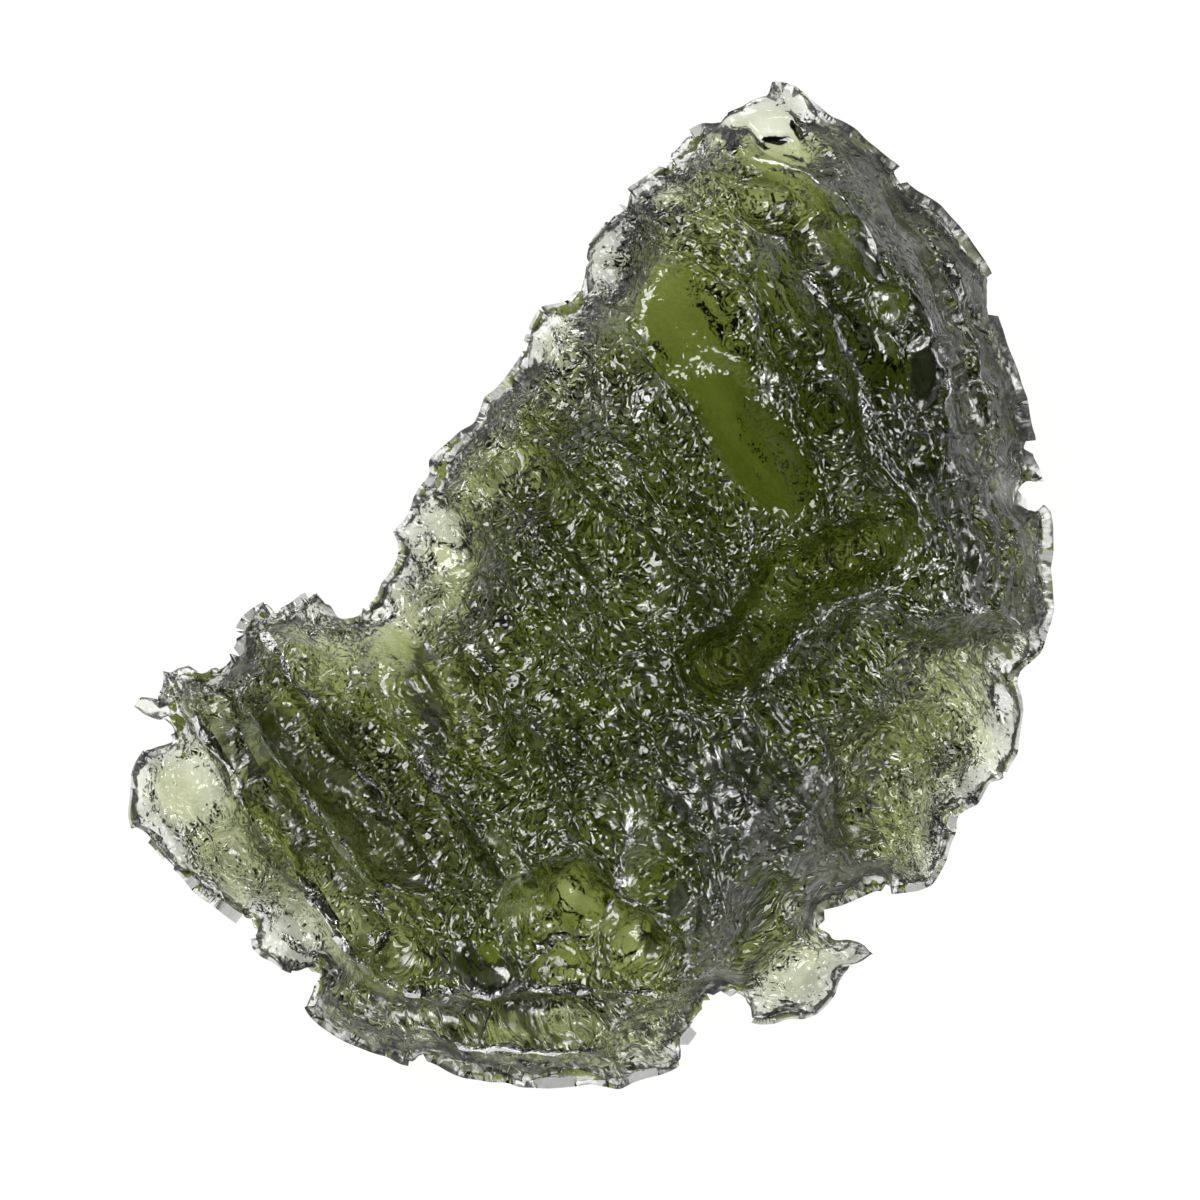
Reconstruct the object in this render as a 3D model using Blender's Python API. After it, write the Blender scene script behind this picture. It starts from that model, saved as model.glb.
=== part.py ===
"""A moldavite: one natural piece of etched green glass, lying on a small flat spot.

The solid is drawn as a geologist would log it. An outline runs round the stone as seen from
above. Soundings inside it give the height of the underside, the thickness of the glass and how
wide its edge tapers. Strokes and dimples then carve the furrows, lamellae, valley and pits.
All lengths are in millimetres until the mesh is made. +Z is up and +Y is the long way.
"""

import math
import random

import bmesh
import bpy
import numpy as np
from mathutils import Vector, noise
from mathutils.geometry import delaunay_2d_cdt

MM = 0.001

# Driving dimensions
LENGTH = 40.4  # the stone's reach along Y, which the drawing below is scaled to
RIM_STEP = 0.58  # spacing of the points round the edge
GRID_STEP = 0.67  # spacing of the points inside
RIM_THICKNESS = 1.1  # the most that the broken edge stands upright, less where the glass is thin
RIM_LIFT = 0.40  # how much of the taper is on the underside
UNDERSIDE_CLEARANCE = 0.35  # what the underside stands clear of the table by, round the flat spot
RIM_JAG = 0.16  # how far the broken edge wanders from the drawn outline
FLAT_CENTRE = (2.2, -1.2)  # the worn flat spot that the stone rests on
FLAT_RADII = (4.6, 4.0)
FLAT_WEAR = 1.3  # how far the wear at its centre would reach below the table

GLASS_COLOUR = (0.16, 0.22, 0.05, 1.0)

# The outline, clockwise from above, as named stretches of the edge
TOP_TIP = [
    (5.5, 18.8), (6.3, 19.2), (6.9, 19.4), (7.1, 20.0), (7.4, 20.2), (8.0, 19.9),
    (8.6, 19.6), (9.1, 19.1), (9.7, 18.6),
]
RIGHT_ARC = [
    (10.3, 18.4), (11.0, 17.8), (12.5, 16.6), (12.6, 16.2), (13.2, 15.5), (13.9, 15.2),
    (15.5, 13.3), (16.1, 12.3), (16.1, 11.5), (16.3, 10.5), (17.1, 8.5), (17.4, 7.9),
    (17.5, 7.0), (17.8, 6.0), (17.6, 5.5), (18.0, 4.4), (18.0, 4.0),
]
RIGHT_NOTCH = [(17.6, 3.8), (17.3, 3.6), (17.6, 3.45), (18.2, 3.3)]
RIGHT_FLANK = [
    (18.5, 2.8), (18.5, 1.7), (18.4, 0.5), (18.6, -0.5), (18.4, -1.6), (18.1, -2.7),
    (17.5, -3.2), (17.0, -3.6),
]
LOWER_RIGHT_LOBES = [
    (17.3, -4.3), (17.4, -5.1), (17.2, -6.3), (17.0, -7.2), (16.5, -7.8), (15.8, -8.0),
    (15.8, -8.6), (15.4, -9.0), (14.8, -9.1), (14.8, -9.8), (14.4, -10.8), (14.0, -11.7),
    (13.3, -12.2), (12.4, -12.4), (11.5, -12.2), (11.1, -12.5), (10.4, -12.8), (9.6, -12.9),
]
SPUR = [
    (9.3, -13.2), (9.5, -13.7), (10.2, -14.0), (10.9, -14.3), (11.3, -14.8), (10.8, -15.1),
    (10.1, -15.8), (9.8, -16.5), (9.3, -17.2), (8.2, -17.4), (7.1, -17.6), (6.4, -17.7),
    (6.1, -17.0), (5.6, -16.5), (5.0, -16.2),
]
BOTTOM_SHELF = [
    (4.9, -16.8), (4.4, -17.8), (3.9, -18.5), (3.8, -19.2), (3.1, -19.6), (2.2, -19.8),
    (1.2, -20.2), (0.1, -20.0), (-1.2, -20.2), (-2.6, -20.1), (-4.0, -19.9), (-5.3, -19.7),
    (-6.6, -19.0), (-7.3, -19.4), (-7.9, -19.0), (-8.8, -18.7), (-9.8, -18.3), (-10.6, -17.8),
    (-11.3, -17.3), (-11.5, -16.8), (-11.2, -16.1), (-11.0, -15.4),
]
LOWER_LEFT_LOBE = [
    (-11.6, -15.6), (-12.3, -15.5), (-12.7, -15.0), (-13.4, -14.8), (-13.7, -14.2),
    (-13.3, -13.7),
]
WEST_LOBE = [
    (-14.0, -13.6), (-14.6, -13.2), (-15.4, -12.7), (-15.9, -12.1), (-17.4, -10.6),
    (-18.2, -9.8), (-18.5, -9.3), (-18.4, -8.4), (-18.2, -7.3), (-17.9, -6.6), (-17.3, -6.2),
    (-16.5, -6.1),
]
WEST_THUMB = [(-17.0, -5.5), (-17.7, -5.2), (-18.2, -4.8), (-18.0, -4.4), (-17.2, -4.4)]
LAMELLA_ENDS = [
    (-17.0, -3.8), (-16.8, -3.2), (-16.1, -3.0), (-15.2, -3.1), (-14.5, -2.9), (-14.0, -2.3),
    (-14.1, -1.6), (-13.6, -1.0), (-13.0, -0.5), (-12.4, -0.9), (-11.8, -0.6), (-11.4, -0.2),
    (-10.8, -0.2), (-10.2, -0.6), (-9.7, -1.0),
]
THIN_BAY = [
    (-9.0, -0.9), (-8.6, -0.4), (-8.3, 0.3), (-7.7, 1.0), (-7.7, 1.7), (-7.9, 2.3),
    (-7.3, 2.9), (-7.2, 3.6),
]
UPPER_LEFT_EDGE = [
    (-6.4, 4.3), (-6.4, 5.0), (-5.9, 5.7), (-4.5, 6.7), (-4.2, 7.5), (-3.2, 8.5),
    (-2.9, 9.2), (-2.5, 9.4), (-2.7, 9.8), (-2.3, 10.7), (-2.0, 11.2), (-1.0, 11.3),
    (-0.7, 11.6), (-0.4, 12.2), (-0.4, 13.0), (0.5, 14.5), (1.0, 15.0), (1.3, 15.8),
    (2.0, 16.2), (2.6, 16.6), (3.6, 17.9), (4.4, 18.4), (5.0, 18.4),
]
OUTLINE = (
    TOP_TIP + RIGHT_ARC + RIGHT_NOTCH + RIGHT_FLANK + LOWER_RIGHT_LOBES + SPUR + BOTTOM_SHELF
    + LOWER_LEFT_LOBE + WEST_LOBE + WEST_THUMB + LAMELLA_ENDS + THIN_BAY + UPPER_LEFT_EDGE
)

# Soundings: x, y, height of the underside, thickness of the glass, width of the edge's taper
SOUNDINGS = [
    # top
    (7.3, 18.8, 4.4, 0.8, 1.2), (6.8, 16.4, 3.0, 3.8, 2.4), (9.2, 17.1, 3.3, 3.6, 2.4),
    (2.8, 15.9, 3.0, 2.8, 2.2), (10.8, 15.5, 2.3, 6.6, 3.6), (13.6, 13.5, 1.8, 8.0, 4.6),
    (0.4, 13.0, 2.8, 1.6, 1.6), (3.6, 13.1, 1.8, 5.0, 3.0), (7.6, 12.7, 1.3, 6.8, 3.6),
    (11.6, 11.5, 1.0, 8.8, 4.6),
    # upper body, from the thin left edge to the steep right wall
    (-1.4, 10.1, 2.5, 2.2, 1.4), (1.2, 9.4, 1.5, 5.0, 2.6), (4.0, 9.5, 1.0, 5.4, 3.0),
    (8.0, 7.5, 0.4, 7.8, 3.6), (14.8, 9.5, 1.2, 9.2, 5.2), (12.0, 6.7, 0.5, 9.4, 5.0),
    (-2.8, 7.1, 1.7, 3.6, 2.0), (0.4, 5.1, 0.5, 7.0, 3.0), (4.8, 4.7, 0.3, 6.6, 3.0),
    (14.4, 4.7, 0.8, 9.0, 5.0), (-4.8, 4.7, 1.7, 3.4, 1.9),
    # waist, with the thin bay on its left
    (-6.4, 1.9, 1.5, 1.6, 1.6), (-2.8, 1.1, 0.3, 6.4, 3.2), (6.0, 0.3, 0.0, 7.8, 3.6),
    (10.0, 1.1, 0.2, 7.6, 4.0), (16.4, 2.7, 1.2, 7.4, 4.8), (17.2, -0.5, 1.4, 6.4, 4.4),
    (14.4, -0.5, 0.7, 7.8, 4.8), (-7.6, -0.9, 1.4, 1.7, 1.8), (-10.0, -1.7, 1.9, 2.8, 1.8),
    (1.2, -2.1, 0.0, 7.4, 3.0), (-6.0, -3.7, 0.6, 5.0, 3.0),
    # left block of lamellae and the thin lobes outside it
    (-12.8, -2.1, 2.8, 3.8, 2.2), (-16.0, -4.1, 3.4, 3.0, 1.8), (-17.6, -4.8, 3.8, 0.8, 0.8),
    (-11.6, -6.1, 1.9, 6.4, 3.2), (-16.2, -7.7, 3.1, 1.7, 1.6), (-17.6, -9.3, 2.9, 1.6, 1.2),
    (-13.2, -9.3, 2.0, 4.2, 2.0), (-14.8, -11.7, 2.3, 2.5, 1.6), (-10.0, -10.9, 1.3, 5.6, 3.0),
    (-12.0, -14.3, 1.9, 1.5, 1.4), (-7.6, -14.5, 0.9, 4.8, 2.6),
    # lower middle
    (-6.4, -7.7, 0.4, 6.0, 3.0), (-1.2, -6.9, 0.0, 7.2, 3.0), (4.4, -5.3, 0.0, 7.0, 3.0),
    (-3.6, -10.9, 0.3, 6.8, 3.0), (2.0, -10.1, 0.0, 7.0, 3.0), (6.0, -8.9, 0.1, 8.4, 4.0),
    (-4.0, -14.9, 0.3, 6.2, 3.0), (-1.2, -13.3, 0.3, 4.8, 2.8), (5.2, -12.5, 0.4, 7.0, 3.2),
    # right foot
    (10.8, -4.5, 0.3, 6.4, 4.0), (15.8, -3.7, 1.3, 2.8, 2.4), (13.2, -6.1, 0.8, 4.0, 3.0),
    (16.4, -6.1, 1.6, 1.4, 1.4), (15.2, -8.1, 1.4, 2.0, 1.6), (8.4, -10.1, 0.4, 6.6, 3.2),
    (11.6, -10.5, 0.9, 3.8, 2.4), (13.6, -10.1, 1.2, 2.4, 1.8),
    # bottom shelf and spur
    (-9.6, -16.9, 1.3, 3.4, 2.2), (-6.0, -18.1, 1.0, 3.8, 1.8), (-1.2, -18.1, 0.9, 3.5, 2.0),
    (2.8, -18.5, 1.4, 2.2, 1.4), (2.4, -15.7, 0.5, 4.6, 2.4), (8.4, -15.9, 1.5, 1.5, 1.2),
    (7.6, -13.3, 0.9, 4.4, 2.0),
]
SOUNDING_REACH = 0.9  # how tightly the surface keeps to each sounding

# Strokes on the upper face: points of a line, half width, and height (a furrow is below 0)
LAMELLAE = [
    ([(-16.3, -6.2), (-15.2, -7.8), (-14.2, -9.8), (-12.8, -12.0)], 0.75, -1.3),
    ([(-16.2, -4.6), (-14.6, -7.0), (-13.0, -9.6), (-11.0, -12.4)], 0.75, 1.0),
    ([(-15.6, -3.9), (-13.4, -7.2), (-11.0, -10.8), (-8.6, -13.6)], 0.65, -1.3),
    ([(-14.6, -3.6), (-12.4, -6.4), (-9.8, -10.0), (-7.4, -12.8)], 0.75, 1.0),
    ([(-13.6, -3.4), (-11.4, -6.2), (-8.6, -9.6), (-6.4, -12.0)], 0.75, -1.7),
    ([(-12.6, -1.8), (-10.6, -5.0), (-8.0, -8.2), (-5.4, -11.2)], 0.75, 1.0),
    ([(-10.4, -3.6), (-8.8, -6.4), (-6.6, -9.8), (-4.6, -12.2)], 0.70, -1.5),
    ([(-9.4, -1.8), (-7.8, -4.8), (-5.8, -8.2), (-4.0, -10.4)], 0.65, 0.7),
    ([(-11.8, -11.8), (-10.2, -14.2), (-7.6, -15.8)], 0.60, 0.8),
    ([(-10.4, -11.8), (-8.8, -14.0), (-6.6, -15.4)], 0.60, -1.0),
]
FURROWS = [
    ([(1.6, 12.8), (2.4, 9.4), (4.2, 6.6), (5.6, 3.2)], 0.70, 0.6),
    ([(6.0, 14.6), (7.6, 11.2), (9.2, 7.6), (10.2, 4.6)], 0.65, -0.9),
    ([(7.0, 14.8), (8.6, 11.8), (10.0, 8.8), (11.0, 5.8)], 0.70, 0.8),
    ([(8.4, 14.6), (10.0, 12.2), (11.2, 9.4), (12.0, 6.4)], 0.65, -0.6),
    ([(7.0, 16.8), (9.4, 16.0), (10.4, 14.4), (11.6, 11.6)], 0.70, 0.9),
    ([(5.6, 15.4), (8.0, 14.6), (9.6, 13.0)], 0.60, -0.8),
    ([(12.6, 15.4), (14.2, 11.8), (15.2, 8.0), (15.8, 5.0)], 0.65, -0.8),
    ([(11.8, 14.6), (13.4, 11.0), (14.2, 7.0), (14.4, 3.4)], 0.70, 0.6),
    ([(12.2, 5.2), (14.2, 4.9), (16.6, 4.8)], 0.55, -0.9),
    ([(-6.8, -1.4), (-5.8, -3.2), (-4.6, -5.2), (-2.8, -7.4)], 0.65, -0.9),
    ([(-5.6, -0.8), (-4.0, -3.4), (-1.6, -6.2), (0.2, -9.0)], 0.70, 0.6),
    ([(-3.4, 5.2), (-1.0, 3.2), (1.6, 1.2), (3.4, -1.4)], 0.70, -0.6),
    ([(-1.8, 6.8), (0.8, 4.6), (3.4, 2.2), (5.6, -0.4)], 0.70, 0.5),
]
VALLEY = [
    ([(12.8, 2.2), (10.2, 1.2), (8.0, 0.4), (6.4, -2.0), (4.0, -4.6)], 0.75, -2.2),
    ([(12.2, 0.2), (9.8, -0.8), (8.0, -2.4), (5.8, -5.2)], 0.90, 1.2),
    ([(14.2, -1.6), (16.0, -1.2), (17.8, -1.8)], 0.50, 0.5),
    ([(14.4, -2.8), (16.2, -2.4), (17.6, -2.9)], 0.50, -0.5),
]
POCKET_FLAKES = [
    ([(-2.6, -10.8), (-1.8, -12.2), (-1.0, -13.8), (-2.4, -15.2)], 0.50, 1.0),
    ([(1.4, -8.6), (1.6, -10.6), (1.0, -12.4), (2.6, -13.4)], 0.60, 1.0),
]
SHELF_RIPPLES = [
    ([(-9.0, -15.9), (-5.4, -16.4), (-1.4, -16.2), (2.0, -16.4), (4.2, -15.6)], 0.70, 0.7),
    ([(-10.0, -17.4), (-6.4, -17.6), (-2.6, -17.4), (1.0, -17.6)], 0.60, -0.6),
    ([(-8.0, -18.4), (-4.4, -18.8), (-1.0, -18.8), (2.2, -18.6)], 0.50, 0.4),
    ([(5.6, -7.0), (7.4, -10.8), (8.8, -12.2)], 0.90, 0.8),
    ([(7.2, -7.4), (9.6, -9.6), (11.0, -11.6)], 0.70, 0.6),
    ([(11.0, -7.2), (11.2, -9.4), (11.2, -11.6)], 0.60, -0.5),
]
UPPER_STROKES = LAMELLAE + FURROWS + VALLEY + POCKET_FLAKES + SHELF_RIPPLES

# Dimples on the upper face: centre, radius and depth
UPPER_DIMPLES = [
    (4.0, 9.6, 1.7, 0.3),  # the two clear windows
    (7.4, 4.2, 1.5, 0.3),
    (11.4, 10.9, 0.55, 1.4),  # a round bubble that the etching opened
    (13.0, 8.3, 1.3, 0.4),
    (-4.0, -14.9, 1.5, 0.5),
    (-0.9, -12.4, 1.4, 1.2),
    (1.6, -14.0, 1.2, 0.9),
    (-3.4, -4.2, 0.9, 0.7),
    (2.0, -4.0, 1.1, 0.8),
    (13.4, 1.6, 1.0, 0.6),
    (16.4, -3.0, 0.9, 0.5),
    (-11.6, -5.4, 1.3, 0.6),
]

# Furrows on the underside, where a ridge into the glass is above 0
LOWER_STROKES = [
    ([(-12.0, -4.0), (-9.0, -8.0), (-5.6, -11.6)], 0.9, 1.0),
    ([(-15.0, -6.0), (-11.6, -10.8), (-8.4, -14.4)], 0.7, 0.6),
    ([(-8.0, -2.0), (-6.0, -6.4), (-2.6, -10.4), (1.6, -13.4)], 0.8, 0.9),
    ([(7.0, 15.6), (9.4, 11.4), (10.8, 6.8)], 0.9, 1.1),
    ([(-1.0, 9.4), (0.8, 6.0), (2.6, 2.4)], 0.8, 0.7),
    ([(11.4, 14.0), (13.0, 9.0), (13.6, 3.0)], 0.8, 0.8),
    ([(-4.0, 5.4), (-2.4, 1.6), (-5.4, -2.4)], 0.7, 0.6),
    ([(8.4, -6.6), (11.6, -4.0), (14.8, -1.0)], 0.8, 0.8),
    ([(-7.0, -16.0), (-2.0, -16.8), (3.0, -15.6)], 0.8, 0.7),
    ([(8.0, 2.6), (11.0, 1.0), (13.6, -3.0)], 0.7, 0.7),
]

PIT_COUNT = 90  # scattered pits on each face
PIT_RADIUS = (0.7, 1.5)
PIT_DEPTH = (0.15, 0.42)
GRAIN_HEIGHT = 0.34  # fine unevenness along the flow of the glass
SEED = 31


def smooth_outline(points, step):
    """Even points along a Catmull-Rom curve through the drawn ones."""
    corners = np.array(points)
    before = np.roll(corners, 1, axis=0)
    after = np.roll(corners, -1, axis=0)
    beyond = np.roll(corners, -2, axis=0)
    tension = 0.35
    dense = []
    for a, b, c, d in zip(before, corners, after, beyond):
        for t in np.linspace(0, 1, 8, endpoint=False):
            leave = tension * (c - a)
            arrive = tension * (d - b)
            dense.append(
                (2 * t**3 - 3 * t**2 + 1) * b
                + (t**3 - 2 * t**2 + t) * leave
                + (3 * t**2 - 2 * t**3) * c
                + (t**3 - t**2) * arrive
            )
    dense = np.array(dense)
    closed = np.vstack([dense, dense[:1]])
    lengths = np.linalg.norm(np.diff(closed, axis=0), axis=1)
    along = np.concatenate([[0], np.cumsum(lengths)])
    count = round(along[-1] / step)
    places = np.linspace(0, along[-1], count, endpoint=False)
    return np.column_stack([np.interp(places, along, closed[:, i]) for i in (0, 1)])


def roughen_outline(rim):
    """The broken edge: each point steps in or out a little, by smooth noise."""
    tangent = np.roll(rim, -1, axis=0) - np.roll(rim, 1, axis=0)
    outward = np.column_stack([tangent[:, 1], -tangent[:, 0]])
    outward /= np.linalg.norm(outward, axis=1)[:, None]
    waves = [noise.noise(Vector((x * 1.3, y * 1.3, 4.0))) for x, y in rim]
    return rim - outward * RIM_JAG * np.array(waves)[:, None]


def distance_to_line(places, line, closed=False):
    """Each place's distance to a broken line, and how far along the line its foot is, 0 to 1."""
    starts = np.array(line if closed else line[:-1])
    ends = np.roll(starts, -1, axis=0) if closed else np.array(line[1:])
    spans = ends - starts
    squares = np.maximum((spans**2).sum(1), 1e-12)
    offsets = places[:, None, :] - starts[None]
    feet = np.clip((offsets * spans[None]).sum(2) / squares[None], 0, 1)
    gaps = np.linalg.norm(offsets - feet[..., None] * spans[None], axis=2)
    nearest = gaps.argmin(1)
    rows = np.arange(len(places))
    lengths = np.sqrt(squares)
    passed = np.concatenate([[0], np.cumsum(lengths)])[:-1]
    along = (passed[nearest] + feet[rows, nearest] * lengths[nearest]) / lengths.sum()
    return gaps[rows, nearest], along


def soundings_at(places):
    """Underside height, thickness and taper width at each place, blended from the soundings."""
    table = np.array(SOUNDINGS)
    squares = ((places[:, None, :] - table[None, :, :2]) ** 2).sum(2)
    weights = 1 / (squares + SOUNDING_REACH**2) ** 2
    weights /= weights.sum(1)[:, None]
    return (weights @ table[:, 2:]).T


def stroke_relief(places, strokes):
    """The sum of drawn ridges and furrows, rounded across and fading at both ends."""
    relief = np.zeros(len(places))
    for line, half_width, height in strokes:
        gap, along = distance_to_line(places, line)
        fade = np.clip(np.minimum(along, 1 - along) * 5, 0, 1)
        relief += height * fade * np.exp(-((gap / half_width) ** 2))
    return relief


def dimple_relief(places, dimples):
    """Round hollows, below 0 inside each."""
    relief = np.zeros(len(places))
    for x, y, radius, depth in dimples:
        squares = ((places - (x, y)) ** 2).sum(1) / radius**2
        relief -= depth * np.clip(1 - squares, 0, 1)
    return relief


def scattered_pits(rng):
    """Small pits all over one face."""
    pits = []
    for _ in range(PIT_COUNT):
        x = rng.uniform(-18.5, 18.5)
        y = rng.uniform(-20, 20)
        pits.append((x, y, rng.uniform(*PIT_RADIUS), rng.uniform(*PIT_DEPTH)))
    return pits


def flow_grain(places, height, offset):
    """Unevenness drawn out along the way the melt flowed, from upper left to lower right."""
    grain = []
    for x, y in places:
        lean = math.radians(-52 - 0.6 * x)
        along = x * math.cos(lean) + y * math.sin(lean)
        across = -x * math.sin(lean) + y * math.cos(lean)
        grain.append(noise.fractal(Vector((along * 0.22, across * 0.8, offset)), 0.9, 2.0, 3))
    return height * np.array(grain)


def flat_wear(places):
    """How far the resting spot is worn down at each place."""
    offset = (places - FLAT_CENTRE) / FLAT_RADII
    return FLAT_WEAR * np.exp(-((offset**2).sum(1)))


def faces_of_glass(places, gap):
    """Heights of the upper and lower face at each place, gap being its distance to the edge."""
    rng = random.Random(SEED)
    floor, thickness, taper = soundings_at(places)
    share = 1 - (1 - np.clip(gap / taper, 0, 1)) ** 2
    edge = RIM_THICKNESS * thickness / (RIM_THICKNESS + thickness)
    body = edge + (thickness - edge) * share
    base = floor + UNDERSIDE_CLEARANCE + RIM_LIFT * (thickness - edge) * (1 - share)
    ease = np.clip(body / 3.0, 0.12, 1) * np.clip(gap / 0.8, 0, 1)

    upper = stroke_relief(places, UPPER_STROKES)
    upper += dimple_relief(places, UPPER_DIMPLES + scattered_pits(rng))
    upper += flow_grain(places, GRAIN_HEIGHT, 1.7)
    lower = stroke_relief(places, LOWER_STROKES)
    lower -= dimple_relief(places, scattered_pits(rng))
    lower += flow_grain(places, GRAIN_HEIGHT, 8.3)

    below = np.maximum(base + lower * ease - flat_wear(places), 0)
    above = base + body + upper * ease
    return np.maximum(above, below + edge), below


def plan_mesh():
    """Points and triangles of the stone seen from above, and how many points lie on its edge."""
    rng = random.Random(SEED)
    rim = roughen_outline(smooth_outline(OUTLINE, RIM_STEP))
    low, high = rim.min(0), rim.max(0)
    row_step = GRID_STEP * math.sqrt(3) / 2
    inside = []
    for row in range(int((high[1] - low[1]) / row_step) + 1):
        for column in range(int((high[0] - low[0]) / GRID_STEP) + 1):
            x = low[0] + (column + 0.5 * (row % 2)) * GRID_STEP
            y = low[1] + row * row_step
            shift = GRID_STEP * 0.16
            inside.append((x + rng.uniform(-shift, shift), y + rng.uniform(-shift, shift)))
    inside = np.array(inside)
    gap, _ = distance_to_line(inside, rim, closed=True)
    inside = inside[(gap > GRID_STEP * 0.55) & within(inside, rim)]
    points = [Vector(p) for p in np.vstack([rim, inside])]
    loop = list(range(len(rim)))
    found = delaunay_2d_cdt(points, [], [loop], 1, 1e-5)
    places = np.array([tuple(p) for p in found[0]])
    return places, [tuple(f) for f in found[2]], rim


def within(places, rim):
    """True for each place inside the closed outline."""
    x, y = places[:, 0][:, None], places[:, 1][:, None]
    x1, y1 = rim[:, 0][None], rim[:, 1][None]
    x2, y2 = np.roll(x1, -1, axis=1), np.roll(y1, -1, axis=1)
    spans = (y1 > y) != (y2 > y)
    crossing = (x2 - x1) * (y - y1) / np.where(y2 == y1, 1e-9, y2 - y1) + x1
    return ((spans & (x < crossing)).sum(1) % 2) == 1


def glass_material():
    material = bpy.data.materials.new("moldavite_glass")
    material.use_nodes = True
    shader = material.node_tree.nodes["Principled BSDF"]
    shader.inputs["Base Color"].default_value = GLASS_COLOUR
    shader.inputs["Roughness"].default_value = 0.18
    shader.inputs["Metallic"].default_value = 0.0
    shader.inputs["IOR"].default_value = 1.49
    shader.inputs["Transmission Weight"].default_value = 1.0
    return material


def build_moldavite():
    """Two faces over one plan, joined round the edge by a narrow wall."""
    places, triangles, rim = plan_mesh()
    gap, _ = distance_to_line(places, rim, closed=True)
    gap[gap < 1e-4] = 0
    above, below = faces_of_glass(places, gap)
    scale = LENGTH / np.ptp(places[:, 1])
    middle = (places.min(0) + places.max(0)) / 2
    across = (places - middle) * scale * MM

    mesh = bmesh.new()
    top = [mesh.verts.new((x, y, z * scale * MM)) for (x, y), z in zip(across, above)]
    bottom = [mesh.verts.new((x, y, z * scale * MM)) for (x, y), z in zip(across, below)]
    edge_uses = {}
    for a, b, c in triangles:
        mesh.faces.new((top[a], top[b], top[c]))
        mesh.faces.new((bottom[c], bottom[b], bottom[a]))
        for start, end in ((a, b), (b, c), (c, a)):
            edge_uses[(start, end)] = True
    for start, end in edge_uses:
        if (end, start) not in edge_uses:
            mesh.faces.new((top[end], top[start], bottom[start], bottom[end]))
    bmesh.ops.triangulate(mesh, faces=[f for f in mesh.faces if len(f.verts) == 4])
    data = bpy.data.meshes.new("moldavite")
    mesh.to_mesh(data)
    mesh.free()
    data.shade_smooth()
    stone = bpy.data.objects.new("moldavite", data)
    stone.data.materials.append(glass_material())
    bpy.context.scene.collection.objects.link(stone)
    return stone


def clear_scene():
    for thing in list(bpy.data.objects):
        bpy.data.objects.remove(thing)


def main():
    clear_scene()
    build_moldavite()


main()
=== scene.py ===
import math

import bmesh
import bpy
import numpy as np
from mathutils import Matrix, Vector
from mathutils.kdtree import KDTree
from mathutils.bvhtree import BVHTree


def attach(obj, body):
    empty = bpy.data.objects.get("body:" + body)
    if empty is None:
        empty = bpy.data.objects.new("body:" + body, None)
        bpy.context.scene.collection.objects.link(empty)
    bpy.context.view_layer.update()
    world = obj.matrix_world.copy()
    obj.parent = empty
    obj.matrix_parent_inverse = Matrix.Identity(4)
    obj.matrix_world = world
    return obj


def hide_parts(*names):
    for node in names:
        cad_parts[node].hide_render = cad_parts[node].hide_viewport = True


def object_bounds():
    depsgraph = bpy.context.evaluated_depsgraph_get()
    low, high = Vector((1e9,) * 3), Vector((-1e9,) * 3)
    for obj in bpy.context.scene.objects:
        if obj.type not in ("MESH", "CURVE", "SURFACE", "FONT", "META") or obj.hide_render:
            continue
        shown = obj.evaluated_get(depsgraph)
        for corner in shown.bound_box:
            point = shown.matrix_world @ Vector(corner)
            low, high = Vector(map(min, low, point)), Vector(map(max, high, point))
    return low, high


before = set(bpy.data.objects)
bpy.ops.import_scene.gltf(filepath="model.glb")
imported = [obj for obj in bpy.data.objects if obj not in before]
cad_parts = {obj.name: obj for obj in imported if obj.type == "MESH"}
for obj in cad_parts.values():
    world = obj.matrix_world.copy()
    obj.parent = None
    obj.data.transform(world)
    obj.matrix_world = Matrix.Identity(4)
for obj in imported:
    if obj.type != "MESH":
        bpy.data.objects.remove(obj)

bl_info = {
    "name": "Moldavite",
    "version": (1, 0, 0),
    "blender": (4, 5, 0),
    "location": "View3D > Sidebar > Moldavite",
    "description": "A piece of etched natural green glass on a light table",
    "category": "Add Mesh",
}

MM = 0.001
CAD_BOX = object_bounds()
RIM_EDGE = 0.40  # the broken edge's height in the finished glass, as a share of the solid's
EDGE_REACH = 1.2 * MM  # how far in from the edge the glass is thinner than the solid
NEW_POINTS = 3  # put into each edge of the solid
ROUNDING_PASSES = 3
CREASE = 1.0  # radians between two faces of the solid, from which their edge stays crisp
SHARP_ANGLE = 62  # degrees, from which the finished glass still has an edge
PLAN_CELL = 0.09  # mm, in the maps of the relief
FULL_ROOM = 2.2  # mm of glass, from which the etching goes to its full depth
THICKEST = 20 * MM  # more than the glass measures anywhere
JUST_INSIDE = 1e-6
LEVEL_FROM = 0.8  # places at least this smooth are evened out in the mesh as well
USUAL_BEARING = -50  # degrees, of the flow over most of the stone

# Flow lines cut into the glass: width and length in mm, and share of the depth
STRIAE = ((1.4, 5.0, 0.50), (0.55, 5.0, 0.32), (0.24, 3.0, 0.18))
# Two sizes of pit: share of the depth, and the given pit width over their own
PITS = ((0.62, 0.55), (0.38, 1.25))
PIT_FORM = 0.45  # a pit's width over its length
PIT_WANDER = 0.6 * MM  # how far the pits stray from even rows
PIT_WANDER_SCALE = 900
# Two sizes of facet on the skin: width over length, how many to the mm across the flow, tilt
FACETS = ((0.45, 2.6, 0.55), (0.75, 8.6, 1.05))
# Noise drawn out along the flow: width and length in mm, and seed
RAGGED_BORDERS = (0.5, 2.0, 71)
GLINT_PATCHES = (0.9, 2.2, 74)
# Painted shade in patches along the flow
SHADE_MOTTLE = ((0.6, (1.3, 4.0, 72)), (0.5, (0.45, 2.4, 73)))  # with its strength before it
UPPER_SEED = 11
LOWER_SEED = 12
SEED_STEP = 20

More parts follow.
